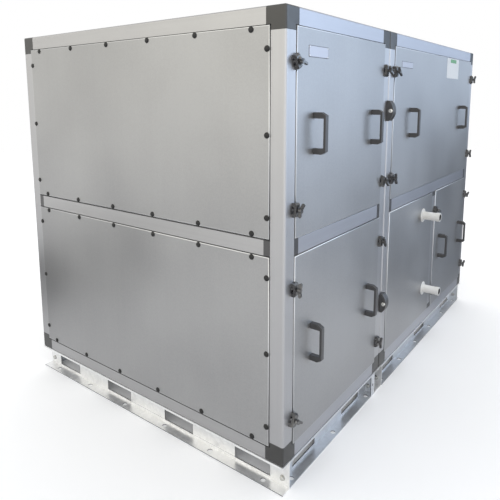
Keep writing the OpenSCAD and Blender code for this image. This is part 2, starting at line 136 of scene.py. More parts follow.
class Recipe:
    """Wires the nodes of one material, world or geometry tree."""

    def __init__(self, tree: bpy.types.NodeTree) -> None:
        """Keeps the tree that the nodes go into."""
        self.tree = tree

    def add(self, kind: str, feeds: Optional[dict] = None, **settings: object) -> bpy.types.Node:
        """Adds one node.

        Args:
            kind: Blender's type name of the node.
            feeds: Values or sockets for its inputs, by input name or index.
            settings: The node's own properties.

        Returns:
            The new node.
        """
        node = self.tree.nodes.new(kind)
        for name, value in settings.items():
            setattr(node, name, value)
        for key, value in (feeds or {}).items():
            if isinstance(value, Socket):
                self.tree.links.new(value, node.inputs[key])
            else:
                node.inputs[key].default_value = value
        return node

    def first(self, kind: str, feeds: Optional[dict] = None, **settings: object) -> Socket:
        """Adds one node and gives the first of its outputs."""
        return self.add(kind, feeds, **settings).outputs[0]

    def math(self, operation: str, *values: object) -> Socket:
        """Adds a math node on numbers or sockets and gives its result."""
        return self.first("ShaderNodeMath", dict(enumerate(values)), operation=operation)

    def times(self, value: object, factor: object) -> Socket:
        """Multiplies two numbers or sockets."""
        return self.math("MULTIPLY", value, factor)

    def total(self, *values: object) -> Socket:
        """Adds up numbers or sockets, in order."""
        return reduce(lambda so_far, value: self.math("ADD", so_far, value), values)

    def measure(self, operation: str, *values: object) -> Socket:
        """Adds a vector math node that finds a number, and gives that number."""
        return self.add("ShaderNodeVectorMath", dict(enumerate(values)), operation=operation).outputs["Value"]

    def place(self, scale: Scale) -> Socket:
        """Gives the piece's own coordinates, scaled.

        Args:
            scale: One factor, or one for each axis.

        Returns:
            The scaled coordinates.
        """
        factors = scale if isinstance(scale, tuple) else (scale, scale, scale)
        spot = self.add("ShaderNodeTexCoord").outputs["Object"]
        return self.first("ShaderNodeMapping", {"Vector": spot, "Scale": factors})

    def seen(self) -> Socket:
        """Tells what shows from what only lights other surfaces.

        Returns:
            1 for a ray from the camera, metal or glass, and 0 for any other.
        """
        path = self.add("ShaderNodeLightPath").outputs
        shown = self.math("MAXIMUM", path["Is Camera Ray"], path["Is Glossy Ray"])
        return self.math("MAXIMUM", shown, path["Is Transmission Ray"])

    def cloud(self, scale: Scale, detail: float = 3.0, roughness: float = 0.55) -> Socket:
        """Adds smooth noise.

        Args:
            scale: Waves for each metre, one number or one for each axis.
            detail: Octaves of finer noise.
            roughness: Share of each finer octave.

        Returns:
            The noise, about 0.5 on average.
        """
        feeds = {"Vector": self.place(scale), "Scale": 1.0, "Detail": detail, "Roughness": roughness}
        return self.first("ShaderNodeTexNoise", feeds)

    def crystals(self, size: float) -> Socket:
        """Adds cells of zinc crystals of a size in metres, each with a shade of its own."""
        cells = self.add("ShaderNodeTexVoronoi", {"Vector": self.place(1.0 / size), "Scale": 1.0})
        return self.first("ShaderNodeSeparateColor", {0: cells.outputs["Color"]})

    def spread(self, value: Socket, low: float, high: float, start: float = 0.25,
               end: float = 0.75) -> Socket:
        """Maps a value from one span to another, held at the ends.

        Args:
            value: The socket to map.
            low: Result at start.
            high: Result at end.
            start: Value that gives low.
            end: Value that gives high.

        Returns:
            The mapped socket.
        """
        return self.first("ShaderNodeMapRange", {0: value, 1: start, 2: end, 3: low, 4: high})

    def mixed(self, share: object, first: object, second: object) -> Socket:
        """Mixes two colours.

        Args:
            share: Share of the second colour, a number or a socket.
            first: Colour at 0.
            second: Colour at 1.

        Returns:
            The mixed colour.
        """
        pair = [(*c, 1.0) if isinstance(c, tuple) else c for c in (first, second)]
        feeds = {0: share, 6: pair[0], 7: pair[1]}
        return self.add("ShaderNodeMix", feeds, data_type="RGBA").outputs[2]

    def relief(self, height: Socket, depth: float, under: Optional[Socket] = None) -> Socket:
        """Turns a height pattern into a surface normal.

        Args:
            height: The pattern.
            depth: Metres between its 0 and its 1.
            under: A normal that this relief lies on.

        Returns:
            The normal.
        """
        feeds = {"Height": height, "Distance": depth, "Strength": 1.0}
        if under is not None:
            feeds["Normal"] = under
        return self.first("ShaderNodeBump", feeds)


@dataclass(frozen=True)
class Finish(ABC):
    """One surface finish, made into a material when it is first used."""

    name: str
    tone: Colour
    tones: ClassVar[Span]

    @abstractmethod
    def feeds(self, recipe: Recipe) -> dict:
        """Gives the shader's inputs.

        Args:
            recipe: The material's recipe.

        Returns:
            The inputs, by name.
        """

    def shade(self, factor: float) -> Colour:
        """Gives the tone, lighter or darker."""
        return (self.tone[0] * factor, self.tone[1] * factor, self.tone[2] * factor)

    def toned(self, recipe: Recipe, share: Socket) -> Socket:
        """Mixes the darkest and the lightest tone of the finish."""
        return recipe.mixed(share, self.shade(self.tones[0]), self.shade(self.tones[1]))

    def material(self) -> bpy.types.Material:
        """Makes the material, or finds it.

        Returns:
            The one material of this finish.
        """
        made = bpy.data.materials.get(self.name)
        if made is None:
            made = bpy.data.materials.new(self.name)
            made.use_nodes = True
            made.node_tree.nodes.clear()
            recipe = Recipe(made.node_tree)
            shader = recipe.first("ShaderNodeBsdfPrincipled", self.feeds(recipe))
            recipe.add("ShaderNodeOutputMaterial", {"Surface": shader})
            made.diffuse_color = (*self.tone, 1.0)
        return made


@dataclass(frozen=True)
class SheetFinish(Finish):
    """Satin coated steel sheet with a fine spangle, roll marks and slow waves."""

    roughness: float = 0.47
    spangle: float = 0.004
    tones: ClassVar[Span] = (0.92, 1.08)
    wave_depth: float = 0.005
    roll_depth: float = 0.00002
    spangle_depth: float = 0.000012

    def feeds(self, recipe: Recipe) -> dict:
        """Gives the shader's inputs.

        Args:
            recipe: The material's recipe.

        Returns:
            The inputs, by name.
        """
        slow = recipe.cloud(2.2, 2.0)
        rolled = recipe.cloud(Axis.Z.stretch(70.0, 0.9), 4.0)
        grain = recipe.crystals(self.spangle)
        blend = recipe.total(recipe.spread(grain, -0.2, 0.2, 0.0, 1.0), recipe.spread(rolled, 0.42, 0.58),
                             recipe.spread(slow, -0.5, 0.5, 0.3, 0.7))
        waves = recipe.relief(recipe.cloud(2.6, 1.0), self.wave_depth)
        fine = recipe.relief(rolled, self.roll_depth, waves)
        return {
            "Base Color": self.toned(recipe, blend),
            "Metallic": 1.0,
            "Roughness": recipe.spread(blend, self.roughness - 0.03, self.roughness + 0.03, 0.0, 1.0),
            "Normal": recipe.relief(grain, self.spangle_depth, fine),
        }


@dataclass(frozen=True)
class ExtrudedFinish(Finish):
    """Satin aluminium profile with fine drawn lines along one axis."""

    axis: Axis = Axis.Z
    roughness: float = 0.42
    tones: ClassVar[Span] = (0.93, 1.06)
    line_depth: float = 0.00004

    def feeds(self, recipe: Recipe) -> dict:
        """Gives the shader's inputs.

        Args:
            recipe: The material's recipe.

        Returns:
            The inputs, by name.
        """
        lines = recipe.cloud(self.axis.stretch(420.0, 1.1), 3.0)
        bands = recipe.cloud(self.axis.stretch(60.0, 0.6), 2.0)
        dull = recipe.cloud(5.0, 4.0)
        blend = recipe.total(recipe.spread(lines, 0.1, 0.6), recipe.spread(bands, 0.0, 0.4))
        rough = recipe.total(recipe.spread(dull, -0.03, 0.05), recipe.spread(lines, 0.0, 0.05),
                             self.roughness)
        return {
            "Base Color": self.toned(recipe, blend),
            "Metallic": 1.0,
            "Roughness": rough,
            "Normal": recipe.relief(lines, self.line_depth),
        }


@dataclass(frozen=True)
class SpangleFinish(Finish):
    """Bright hot-dipped sheet with large spangle and a few dull rub marks."""

    roughness: float = 0.34
    spangle: float = 0.014
    tones: ClassVar[Span] = (0.92, 1.06)
    dent_depth: float = 0.00015

    def feeds(self, recipe: Recipe) -> dict:
        """Gives the shader's inputs.

        Args:
            recipe: The material's recipe.

        Returns:
            The inputs, by name.
        """
        grain = recipe.crystals(self.spangle)
        fine = recipe.crystals(self.spangle * 0.3)
        rub = recipe.cloud(Axis.Z.stretch(9.0, 22.0), 5.0, 0.6)
        blend = recipe.total(recipe.spread(grain, 0.0, 0.7, 0.0, 1.0),
                             recipe.spread(fine, 0.0, 0.3, 0.0, 1.0))
        rough = recipe.total(recipe.spread(rub, 0.0, 0.08, 0.45, 0.75),
                             recipe.spread(grain, -0.03, 0.03, 0.0, 1.0), self.roughness)
        return {
            "Base Color": self.toned(recipe, blend),
            "Metallic": 0.6,
            "Roughness": rough,
            "Normal": recipe.relief(recipe.cloud(4.0, 1.0), self.dent_depth),
        }


@dataclass(frozen=True)
class MouldedFinish(Finish):
    """Moulded plastic with a fine eroded grain and a little handling dust."""

    roughness: float = 0.42
    ior: float = 1.5
    tones: ClassVar[Span] = (0.85, 1.45)
    grain_depth: float = 0.00003

    def feeds(self, recipe: Recipe) -> dict:
        """Gives the shader's inputs.

        Args:
            recipe: The material's recipe.

        Returns:
            The inputs, by name.
        """
        grain = recipe.cloud(900.0, 2.0)
        dust = recipe.cloud(28.0, 5.0, 0.65)
        flow = recipe.cloud(6.0, 2.0)
        dusty = recipe.spread(dust, 0.0, 1.0, 0.35, 0.8)
        rough = recipe.total(recipe.spread(dust, -0.04, 0.1), recipe.spread(flow, -0.04, 0.04),
                             self.roughness)
        return {
            "Base Color": self.toned(recipe, dusty),
            "Roughness": rough,
            "IOR": self.ior,
            "Normal": recipe.relief(grain, self.grain_depth),
        }


@dataclass(frozen=True)
class EnamelFinish(Finish):
    """White gloss pipe with a faint run of ripples and a little grime."""

    roughness: float = 0.26
    stain: Colour = (0.84, 0.82, 0.77)
    peel_depth: float = 0.00005

    def feeds(self, recipe: Recipe) -> dict:
        """Gives the shader's inputs.

        Args:
            recipe: The material's recipe.

        Returns:
            The inputs, by name.
        """
        grime = recipe.cloud(Axis.Y.stretch(34.0, 16.0), 5.0, 0.6)
        peel = recipe.cloud(260.0, 1.0)
        share = recipe.spread(grime, 0.0, 1.0, 0.45, 0.8)
        stained = tuple(tone * stain for tone, stain in zip(self.tone, self.stain))
        return {
            "Base Color": recipe.mixed(share, self.tone, stained),
            "Roughness": recipe.spread(grime, self.roughness, self.roughness + 0.14),
            "Normal": recipe.relief(peel, self.peel_depth),
        }


@dataclass(frozen=True)
class GrainedFinish(Finish):
    """Surface with a fine grain, whose tone and gloss change from patch to patch."""

    grain: ClassVar[Span]
    patch: ClassVar[Span]
    gloss: ClassVar[Span]
    grain_depth: ClassVar[float]
    metallic: ClassVar[float] = 0.0

    def feeds(self, recipe: Recipe) -> dict:
        """Gives the shader's inputs.

        Args:
            recipe: The material's recipe.

        Returns:
            The inputs, by name.
        """
        grain, patches = recipe.cloud(*self.grain), recipe.cloud(*self.patch)
        return {
            "Base Color": self.toned(recipe, recipe.spread(patches, 0.0, 1.0)),
            "Metallic": self.metallic,
            "Roughness": recipe.spread(patches, *self.gloss),
            "Normal": recipe.relief(grain, self.grain_depth),
        }


@dataclass(frozen=True)
class RubberFinish(GrainedFinish):
    """Dull sealing rubber with a cut-cell grain and a pale bloom."""

    tones: ClassVar[Span] = (0.8, 1.5)
    grain: ClassVar[Span] = (700.0, 3.0)
    patch: ClassVar[Span] = (18.0, 4.0)
    gloss: ClassVar[Span] = (0.62, 0.8)
    grain_depth: ClassVar[float] = 0.00008


@dataclass(frozen=True)
class PlatedFinish(GrainedFinish):
    """Zinc-plated steel with a fine grain and dull patches."""

    tones: ClassVar[Span] = (0.82, 1.08)
    grain: ClassVar[Span] = (900.0, 2.0)
    patch: ClassVar[Span] = (140.0, 3.0)
    gloss: ClassVar[Span] = (0.2, 0.36)
    metallic: ClassVar[float] = 1.0
    grain_depth: ClassVar[float] = 0.00002


@dataclass(frozen=True)
class FilmFinish(Finish):
    """Smooth film or lacquered foil with fine brushed lines along X."""

    roughness: float = 0.32
    metallic: float = 0.0
    tones: ClassVar[Span] = (0.95, 1.04)
    wear_depth: float = 0.00003

    def feeds(self, recipe: Recipe) -> dict:
        """Gives the shader's inputs.

        Args:
            recipe: The material's recipe.

        Returns:
            The inputs, by name.
        """
        brushed = recipe.cloud(Axis.X.stretch(1300.0, 9.0), 2.0)
        worn = recipe.cloud(55.0, 4.0)
        blend = recipe.total(recipe.spread(brushed, 0.0, 0.5), recipe.spread(worn, 0.0, 0.5))
        return {
            "Base Color": self.toned(recipe, blend),
            "Metallic": self.metallic,
            "Roughness": recipe.spread(blend, self.roughness, self.roughness + 0.1, 0.0, 1.0),
            "Normal": recipe.relief(worn, self.wear_depth),
        }


@dataclass(frozen=True)
class FloorFinish(Finish):
    """Pale studio floor, faintly mottled, that fades away at its rim."""

    tones: ClassVar[Span] = (0.99, 1.01)
    bounce: float = 0.45
    lift: float = 0.08
    fade_from: float = 5.0
    fade_to: float = 11.0

    def feeds(self, recipe: Recipe) -> dict:
        """Gives the shader's inputs.

        Args:
            recipe: The material's recipe.

        Returns:
            The inputs, by name.
        """
        mottle = recipe.cloud(1.2, 4.0)
        reach = recipe.measure("LENGTH", recipe.place(1.0))
        pale = self.toned(recipe, recipe.spread(mottle, 0.0, 1.0))
        seen = recipe.seen()
        return {
            "Base Color": recipe.mixed(seen, self.shade(self.bounce), pale),
            "Roughness": 0.8,
            "Specular IOR Level": 0.1,
            "Emission Strength": recipe.times(seen, self.lift),
            "Alpha": recipe.spread(reach, 1.0, 0.0, self.fade_from, self.fade_to),
        }


SHEET = SheetFinish("satin_sheet", (0.332, 0.333, 0.338))
# The fold sheet is lighter than the panel sheet only as a painted highlight along the folded edges.
SHEET_FOLD_HIGHLIGHT = SheetFinish("painted_highlight_fold", (0.5, 0.504, 0.512), 0.43)
# The profile tones differ by run only as painted light and shade: the X rails, on the access and back sides,
# carry the access side's bluish shade; the Y rails, on the ends, the grey of the lit ends.
PROFILE_LIGHT_TINTS = {Axis.X: (0.378, 0.384, 0.414), Axis.Y: (0.382, 0.381, 0.387), Axis.Z: (0.391, 0.391, 0.402)}
PROFILES = {axis: ExtrudedFinish(f"drawn_aluminium_light_tinted_{axis.name.lower()}", tone, axis)
            for axis, tone in PROFILE_LIGHT_TINTS.items()}
# One spangled sheet in a lit and a shaded copy: the side rails' darker, bluer tone is painted shade of the
# access side, the end rails' paler tone painted light.
BASE_SHEETS_LIT_AND_SHADED = {"end": SpangleFinish("spangled_sheet_painted_light", (0.86, 0.862, 0.862)),
               "side": SpangleFinish("spangled_sheet_painted_shade", (0.66, 0.68, 0.71))}
# The cut edges' dark grey is painted shade along the flange edges, deeper than the cut steel's own dull tone.
CUT_EDGE_SHADE = PlatedFinish("painted_shade_cut_edge", (0.22, 0.225, 0.235))
CORNER_PLASTIC = MouldedFinish("corner_grey", (0.014, 0.0135, 0.0125), 0.38, 1.64)
BLACK_PLASTIC = MouldedFinish("fitting_black", (0.032, 0.031, 0.033), 0.42, 1.72)
CLAMP_BLACK = MouldedFinish("clamp_black", (0.026, 0.025, 0.026), 0.27, 1.95)
PIPE_WHITE = EnamelFinish("pipe_enamel", (0.93, 0.92, 0.9))
# The bores' near-black is painted shade inside the open pipe ends.
PIPE_BORE_SHADE = RubberFinish("painted_shade_bore", (0.03, 0.028, 0.026))
# The same dark rubber makes the real panel seals and the cords that paint shadow under the screwed side
# panels.
SEAL_AND_SHADOW_RUBBER = RubberFinish("seal_and_shadow_rubber", (0.02, 0.02, 0.021))
SCREW_BLACK = MouldedFinish("screw_black", (0.008, 0.008, 0.008), 0.4, 1.4)
ZINC = PlatedFinish("zinc_plate", (0.74, 0.73, 0.70))
BOLT_STEEL = PlatedFinish("bolt_steel", (0.5, 0.5, 0.49))
STUD_STEEL = PlatedFinish("stud_steel", (0.26, 0.26, 0.27))
PLATE_FOIL = FilmFinish("plate_foil", (0.4, 0.395, 0.42), 0.4, 1.0)
# The plate rim is dark only as painted shadow around the plates.
PLATE_SHADOW_RIM = FilmFinish("plate_painted_shadow_rim", (0.1, 0.1, 0.115), 0.4)
LABEL_WHITE = FilmFinish("label_white", (0.9, 0.91, 0.91), 0.38)
LABEL_GREEN = FilmFinish("label_green", (0.16, 0.42, 0.20), 0.38)
CARD_GREY = RubberFinish("card_grey", (0.07, 0.075, 0.09))
FLOOR_PALE = FloorFinish("floor_pale", (0.98, 0.98, 0.98))


def linked(name: str, mesh: Mesh) -> Piece:
    """Puts a mesh into the scene as an object at the origin.

    Args:
        name: The object's name.
        mesh: Its mesh.

    Returns:
        The object.
    """
    made = bpy.data.objects.new(name, mesh)
    bpy.context.scene.collection.objects.link(made)
    return made


def settled(piece: Piece) -> Piece:
    """Bakes a piece's modifiers into a plain mesh and removes them.

    Args:
        piece: The object with modifiers.

    Returns:
        The same object, with a plain mesh.
    """
    graph = bpy.context.evaluated_depsgraph_get()
    graph.update()
    final = piece.evaluated_get(graph)
    mesh = bpy.data.meshes.new_from_object(final, preserve_all_data_layers=True, depsgraph=graph)
    piece.modifiers.clear()
    piece.data = mesh
    mesh.name = piece.name
    return piece


def mounted(piece: Piece, slot: str) -> Piece:
    """Makes a piece ride on the unit.

    Args:
        piece: The finished piece.
        slot: The name of its slot; not used.

    Returns:
        The same piece.
    """
    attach(piece, "root")
    return piece


def coated(mesh: Mesh, *finishes: Finish) -> None:
    """Gives a mesh these finishes, in place of those it has.

    Args:
        mesh: The mesh.
        finishes: A finish for each of its material slots.
    """
    mesh.materials.clear()
    for finish in finishes:
        mesh.materials.append(finish.material())


def dressed(name: str, finish: Finish) -> Piece:
    """Gives a CAD node its finish.

    Args:
        name: The node's name.
        finish: Its finish.

    Returns:
        The node's object.
    """
    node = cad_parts[name]
    for slot in node.material_slots:
        slot.material = finish.material()
    return node


def islands(mesh: Mesh) -> Iterator[list[Face]]:
    """Splits a mesh into its separate bodies.

    Args:
        mesh: A mesh whose faces share their corners.

    Yields:
        The faces of each body.
    """
    work = bmesh.new()
    work.from_mesh(mesh)
    unseen = set(work.faces)
    while unseen:
        group, reach = [], [unseen.pop()]
        while reach:
            face = reach.pop()
            group.append(mesh.polygons[face.index])
            near = {f for e in face.edges for f in e.link_faces} & unseen
            unseen -= near
            reach.extend(near)
        yield group
    work.free()


def extents(mesh: Mesh, faces: Iterable[Face]) -> list[Span]:
    """Gives the lowest and highest place of some faces on each axis."""
    spots = [mesh.vertices[v].co for face in faces for v in face.vertices]
    return [(min(s[i] for s in spots), max(s[i] for s in spots)) for i in range(3)]


def breadth(mesh: Mesh, face: Face) -> float:
    """Gives the middle one of a face's sizes on the three axes."""
    return sorted(high - low for low, high in extents(mesh, [face]))[1]


@dataclass
class SoftCopy:
    """A copy of a CAD node with its sharp edges rounded, which stands for the node."""

    node: str
    finish: Finish
    slot: str
    edge: float = 0.0
    shortest: float = 0.0
    segments: int = 3
    extras: ClassVar[tuple[Finish, ...]] = ()

    def build(self) -> Piece:
        """Makes the copy.

        Returns:
            The finished piece.
        """
        mesh = self.merged()
        self.reshape(mesh)
        piece = linked(mesh.name, mesh)
        self.dress(mesh)
        self.soften(piece)
        settled(piece)
        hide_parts(self.node)
        return mounted(piece, self.slot)

    def merged(self) -> Mesh:
        """Copies the node's mesh with whole faces, and marks the edges that get rounded.

        Returns:
            The copy.
        """
        mesh = bpy.data.meshes.new(f"soft_{self.node}")
        work = bmesh.new()
        work.from_mesh(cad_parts[self.node].data)
        bmesh.ops.remove_doubles(work, verts=work.verts, dist=MERGE_REACH)
        bmesh.ops.dissolve_limit(work, angle_limit=FLAT_ANGLE, verts=work.verts, edges=work.edges)
        weight = work.edges.layers.float.new("bevel_weight_edge")
        for edge in work.edges:
            sharp = len(edge.link_faces) == 2 and edge.calc_face_angle() > SHARP_ANGLE
            rounded = sharp and edge.calc_length() >= self.shortest
            edge[weight] = float(rounded)
            edge.smooth = rounded or not sharp
        for face in work.faces:
            face.smooth = True
        work.to_mesh(mesh)
        work.free()
        if mesh.has_custom_normals:
            mesh.attributes.remove(mesh.attributes["custom_normal"])
        return mesh

    def reshape(self, mesh: Mesh) -> None:
        """Leaves the copy's shape as the node has it."""

    def choice(self, mesh: Mesh, face: Face, body: list[Span]) -> int:
        """Gives the number of a face's finish, from the face and the extents of its body."""
        return 0

    def dress(self, mesh: Mesh) -> None:
        """Gives each face of the copy its finish.

        Args:
            mesh: The copy's mesh.
        """
        coated(mesh, self.finish, *self.extras)
        for group in islands(mesh):
            body = extents(mesh, group)
            for face in group:
                face.material_index = self.choice(mesh, face, body)

    def soften(self, piece: Piece) -> None:
        """Rounds the marked edges of the copy.

        Args:
            piece: The copy.
        """
        bevel = piece.modifiers.new("edges", "BEVEL")
        bevel.limit_method = "WEIGHT"
        bevel.width = self.edge
        bevel.segments = self.segments
        bevel.harden_normals = True
        bevel.miter_outer = "MITER_ARC"


@dataclass
class ProfileCopy(SoftCopy):
    """A softened copy of rails that run along different axes, each tinted with the painted light or shade of
    its side.
    """

    extras = (PROFILES[Axis.Y], PROFILES[Axis.Z])

    def choice(self, mesh: Mesh, face: Face, body: list[Span]) -> int:
        """Gives each rail the finish that is drawn along its run, with that run's tint of painted light or
        shade.
        """
        runs = [high - low for low, high in body]
        return runs.index(max(runs))


@dataclass
class ConnectorCopy(SoftCopy):
    """A softened copy of the mid rail connectors, each drawn out over the end of its rail."""

    lap: float = 0.008
    flare: float = 0.0005
    square: float = 0.04

    def reshape(self, mesh: Mesh) -> None:
        """Moves the end of each connector along its rail, a little proud of it.

        Args:
            mesh: The copy's mesh.
        """
        middle = sum(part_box(self.node), Vector()) / 2.0
        for face in mesh.polygons:
            centre, normal = face.center.copy(), face.normal.copy()
            if breadth(mesh, face) > self.square and normal.dot(middle - centre) > 0.0:
                for point in (mesh.vertices[v].co for v in face.vertices):
                    point += normal * self.lap + (point - centre).normalized() * self.flare


@dataclass
class PipeCopy(SoftCopy):
    """A softened copy of the pipe stubs whose bores are dark with painted shade."""

    bore: float = 0.0155
    end_on: float = 0.5
    extras = (PIPE_BORE_SHADE,)

    def choice(self, mesh: Mesh, face: Face, body: list[Span]) -> int:
        """Gives the walls of the bore the dark finish of painted shade, but not the stub's ends."""
        out = math.hypot(*(face.center[i] - sum(body[i]) / 2.0 for i in Facing.ACCESS.plane))
        return int(out < self.bore and abs(face.normal.y) < self.end_on)


@dataclass
class PanelCopy(SoftCopy):
    """A copy of a panel whose folded edges carry a painted highlight: a lighter, glossier sheet on the folds.
    """

    flat: float = 0.998
    extras = (SHEET_FOLD_HIGHLIGHT,)

    def choice(self, mesh: Mesh, face: Face, body: list[Span]) -> int:
        """Gives the faces of a fold, which look along no axis, the lighter sheet that paints a highlight on
        them.
        """
        return int(max(abs(v) for v in face.normal) < self.flat)

    def soften(self, piece: Piece) -> None:
        """Keeps the flat faces flat where they meet the round folds.

        Args:
            piece: The copy.
        """
        even = piece.modifiers.new("even", "WEIGHTED_NORMAL")
        even.mode = "FACE_AREA"
        even.weight = 100
        even.keep_sharp = True


@dataclass
class RailCopy(SoftCopy):
    """A softened copy of the base's rails whose cut sheet edges are dark: the dull cut steel, darkened
    further by painted shade.
    """

    sheet: float = 0.0035
    extras = (CUT_EDGE_SHADE,)

    def choice(self, mesh: Mesh, face: Face, body: list[Span]) -> int:
        """Gives the cut edges, which are no wider than the sheet is thick, their darker finish of painted
        shade.
        """
        return int(breadth(mesh, face) <= self.sheet)


class TreeKind(Enum):
    """The shapes that geometry nodes repeat or sweep."""

    DOME = "domed_heads"
    HEX = "hex_heads"
    CORD = "seal_cords"


@dataclass
class GeometryTree:
    """A geometry nodes tree with named inputs, built once for each kind."""

    kind: TreeKind
    inputs: dict[str, str] = field(default_factory=dict)
    tree: Optional[bpy.types.NodeTree] = None
    underside: float = -0.04
    flat_to_corner: float = 0.577
    crown_top: float = 0.62
    crown_foot: float = 0.86
    crown_rise: float = 0.16
    washer_depth: float = 0.0016

    def build(self) -> "GeometryTree":
        """Builds the tree and notes the identifier of each named input.

        Returns:
            The same object.
        """
        self.tree = bpy.data.node_groups.new(self.kind.value, "GeometryNodeTree")
        self.tree.is_modifier = True
        face = self.tree.interface
        face.new_socket("Geometry", in_out="INPUT", socket_type="NodeSocketGeometry")
        face.new_socket("Geometry", in_out="OUTPUT", socket_type="NodeSocketGeometry")
        for name, kind in (("Width", "Float"), ("Height", "Float"), ("Washer", "Float"), ("Seed", "Int"),
                           ("Material", "Material")):
            made = face.new_socket(name, in_out="INPUT", socket_type=f"NodeSocket{kind}")
            self.inputs[name] = made.identifier
        recipe = Recipe(self.tree)
        given = recipe.add("NodeGroupInput").outputs
        shapes = {TreeKind.DOME: self.heads, TreeKind.HEX: self.heads, TreeKind.CORD: self.cord}
        real = recipe.first("GeometryNodeRealizeInstances", {"Geometry": shapes[self.kind](recipe, given)})
        rounded = self.kind is not TreeKind.HEX
        smooth = recipe.first("GeometryNodeSetShadeSmooth", {"Geometry": real, "Shade Smooth": rounded})
        done = recipe.first("GeometryNodeSetMaterial", {"Geometry": smooth, "Material": given["Material"]})
        recipe.add("NodeGroupOutput", {0: done})
        return self

    def heads(self, recipe: Recipe, given: Inputs) -> Socket:
        """Sets a fastener head on every point, turned to the point's facing.

        Args:
            recipe: The tree's recipe.
            given: The tree's named inputs.

        Returns:
            The instances.
        """
        head = self.dome(recipe, given) if self.kind is TreeKind.DOME else self.hexagon(recipe, given)
        out = recipe.first("GeometryNodeInputNamedAttribute", {"Name": "facing"}, data_type="FLOAT_VECTOR")
        turn = recipe.first("FunctionNodeAlignRotationToVector", {"Vector": out}, axis="Z")
        limits = {2: 0.0, 3: math.tau, "Seed": given["Seed"]}
        chance = recipe.add("FunctionNodeRandomValue", limits, data_type="FLOAT").outputs[1]
        spin = recipe.first("FunctionNodeAxisAngleToRotation", {"Axis": (0.0, 0.0, 1.0), "Angle": chance})
        both = recipe.first("FunctionNodeRotateRotation", {0: turn, 1: spin}, rotation_space="LOCAL")
        feeds = {"Points": given["Geometry"], "Instance": head, "Rotation": both}
        return recipe.first("GeometryNodeInstanceOnPoints", feeds)

    def dome(self, recipe: Recipe, given: Inputs) -> Socket:
        """Makes a low domed head with a flat underside.

        Args:
            recipe: The tree's recipe.
            given: The tree's named inputs.

        Returns:
            The head.
        """
        ball = recipe.first("GeometryNodeMeshUVSphere", {"Segments": 14, "Rings": 8, "Radius": 1.0})
        spot = recipe.add("ShaderNodeSeparateXYZ", {0: recipe.first("GeometryNodeInputPosition")}).outputs
        half = recipe.times(given["Width"], 0.5)
        rise = recipe.times(recipe.math("MAXIMUM", spot[2], self.underside), given["Height"])
        place = {0: recipe.times(spot[0], half), 1: recipe.times(spot[1], half), 2: rise}
        feeds = {"Geometry": ball, "Position": recipe.first("ShaderNodeCombineXYZ", place)}
        return recipe.first("GeometryNodeSetPosition", feeds)

    def hexagon(self, recipe: Recipe, given: Inputs) -> Socket:
        """Makes a six-sided head with a crowned top, on a round washer.

        Args:
            recipe: The tree's recipe.
            given: The tree's named inputs.

        Returns:
            The head.
        """
        half, height = recipe.times(given["Width"], self.flat_to_corner), given["Height"]
        nut = recipe.first("GeometryNodeMeshCylinder", {"Vertices": 6, "Radius": half, "Depth": height})
        crown = recipe.first("GeometryNodeMeshCone", {"Vertices": 12,
                                                      "Radius Top": recipe.times(half, self.crown_top),
                                                      "Radius Bottom": recipe.times(half, self.crown_foot),
                                                      "Depth": recipe.times(height, self.crown_rise)})
        washer = {"Vertices": 16, "Radius": recipe.times(given["Washer"], 0.5), "Depth": self.washer_depth}
        join = recipe.add("GeometryNodeJoinGeometry")
        recipe.tree.links.new(recipe.first("GeometryNodeMeshCylinder", washer), join.inputs[0])
        for part, lift in ((nut, recipe.times(height, 0.5)), (crown, height)):
            feeds = {"Geometry": part, "Translation": recipe.first("ShaderNodeCombineXYZ", {2: lift})}
            recipe.tree.links.new(recipe.first("GeometryNodeTransform", feeds), join.inputs[0])
        return join.outputs[0]

    def cord(self, recipe: Recipe, given: Inputs) -> Socket:
        """Sweeps a round cord along the edges of the points' mesh.

        Args:
            recipe: The tree's recipe.
            given: The tree's named inputs.

        Returns:
            The cord.
        """
        path = recipe.first("GeometryNodeMeshToCurve", {0: given["Geometry"]})
        section = {"Resolution": 8, "Radius": recipe.times(given["Width"], 0.5)}
        ring = recipe.first("GeometryNodeCurvePrimitiveCircle", section)
        return recipe.first("GeometryNodeCurveToMesh", {0: path, 1: ring, "Fill Caps": True})


@dataclass
class Repeats:
    """Pieces that one geometry tree makes from points or paths."""

    name: str
    kind: TreeKind
    finish: Finish
    slot: str
    width: float
    height: float = 0.0
    washer: float = 0.0
    seed: int = 7
    spots: list[tuple[Vector, Vector]] = field(default_factory=list)
    paths: list[list[Vector]] = field(default_factory=list)

    trees: ClassVar[dict[TreeKind, GeometryTree]] = {}

    def build(self) -> Piece:
        """Makes the points, runs the tree on them and bakes the result.

        Returns:
            The finished piece.
        """
        mesh = bpy.data.meshes.new(self.name)
        corners = [p for path in self.paths for p in path]
        edges, first = [], 0
        for path in self.paths:
            links = len(path) if len(path) > 2 else 1
            edges += [(first + i, first + (i + 1) % len(path)) for i in range(links)]
            first += len(path)
        mesh.from_pydata(corners + [s for s, _ in self.spots], edges, [])
        out = mesh.attributes.new("facing", "FLOAT_VECTOR", "POINT")
        for item, (_, normal) in zip(list(out.data)[len(corners):], self.spots):
            item.vector = normal
        if self.kind not in Repeats.trees:
            Repeats.trees[self.kind] = GeometryTree(self.kind).build()
        tree = Repeats.trees[self.kind]
        piece = linked(self.name, mesh)
        nodes = piece.modifiers.new("repeats", "NODES")
        nodes.node_group = tree.tree
        for name, value in (("Width", self.width), ("Height", self.height), ("Washer", self.washer),
                            ("Seed", self.seed), ("Material", self.finish.material())):
            nodes[tree.inputs[name]] = value
        settled(piece)
        if "facing" in piece.data.attributes:
            piece.data.attributes.remove(piece.data.attributes["facing"])
        return mounted(piece, self.slot)


